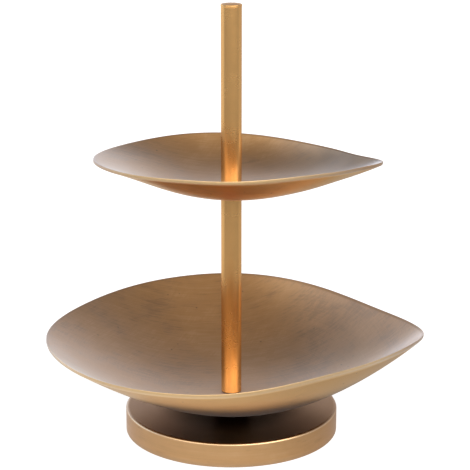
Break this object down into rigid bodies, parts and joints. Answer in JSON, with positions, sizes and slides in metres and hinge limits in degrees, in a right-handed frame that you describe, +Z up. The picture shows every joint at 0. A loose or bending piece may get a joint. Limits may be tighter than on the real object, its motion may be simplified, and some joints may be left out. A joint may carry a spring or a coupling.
{
  "type": "tiered cake stand",
  "caption": "Leaf-shaped serving dishes with a pointed tip, stacked on a slim round pole over a round drum base, in an aged brass finish.",
  "frame": {"origin": "where the pole's axis meets the surface that the stand rests on, at the underside of the base's felt", "axes": "+Z up the pole, +X towards the pointed tips of both dishes, +Y across them"},
  "size_m": [0.3551, 0.3494, 0.4054],
  "materials": {
    "dish_finish": "aged brass finish, brushed by hand, satin",
    "pole_finish": "aged brass finish on steel tube, satin",
    "base_finish": "aged brass finish on pressed steel, satin, with faint turning lines",
    "zinc_hardware": "zinc plated, dull bright",
    "nylon_washer": "dark brown nylon, matte",
    "closing_plate": "black enamel on sheet steel, semi-matte",
    "base_felt": "black wool felt"
  },
  "bodies": {
    "stand": {"base_shell": "base_finish", "base_closing_plate": "closing_plate", "base_felt": "base_felt", "base_stud": "zinc_hardware", "base_nut": "zinc_hardware", "base_lock_nut": "zinc_hardware", "base_spring_washer": "zinc_hardware", "base_load_washer": "zinc_hardware", "spacer_collar": "base_finish"},
    "lower_dish": {"lower_bowl": "dish_finish", "lower_flat_washer": "nylon_washer", "lower_step_washer": "nylon_washer"},
    "lower_thread": {"lower_tube_foot_insert": "zinc_hardware"},
    "lower_pole": {"lower_tube": "pole_finish", "lower_tube_head_insert": "zinc_hardware", "joining_stud": "zinc_hardware"},
    "upper_dish": {"upper_bowl": "dish_finish", "upper_flat_washer": "nylon_washer", "upper_step_washer": "nylon_washer"},
    "upper_thread": {"upper_tube_insert": "zinc_hardware"},
    "upper_pole": {"upper_tube": "pole_finish", "top_cap": "pole_finish"}
  },
  "joints": [
    {"name": "lower_dish_turn", "type": "hinge", "parent": "stand", "child": "lower_dish", "pos_m": [0, 0, 0.0331], "axis": [0, 0, 1], "continuous": true},
    {"name": "lower_tube_rise", "type": "slide", "parent": "stand", "child": "lower_thread", "axis": [0, 0, 1], "range_m": [0, 0.01]},
    {"name": "lower_tube_unscrew", "type": "hinge", "parent": "lower_thread", "child": "lower_pole", "pos_m": [0, 0, 0.0375], "axis": [0, 0, 1], "range_deg": [0, 2880]},
    {"name": "upper_dish_turn", "type": "hinge", "parent": "lower_pole", "child": "upper_dish", "pos_m": [0, 0, 0.2331], "axis": [0, 0, 1], "continuous": true},
    {"name": "upper_tube_rise", "type": "slide", "parent": "lower_pole", "child": "upper_thread", "axis": [0, 0, 1], "range_m": [0, 0.01]},
    {"name": "upper_tube_unscrew", "type": "hinge", "parent": "upper_thread", "child": "upper_pole", "pos_m": [0, 0, 0.2375], "axis": [0, 0, 1], "range_deg": [0, 2880]}
  ],
  "couplings": [
    {"joint": "lower_tube_unscrew", "follows": "lower_tube_rise", "rad_per_m": 5026.5},
    {"joint": "upper_tube_unscrew", "follows": "upper_tube_rise", "rad_per_m": 5026.5}
  ]
}
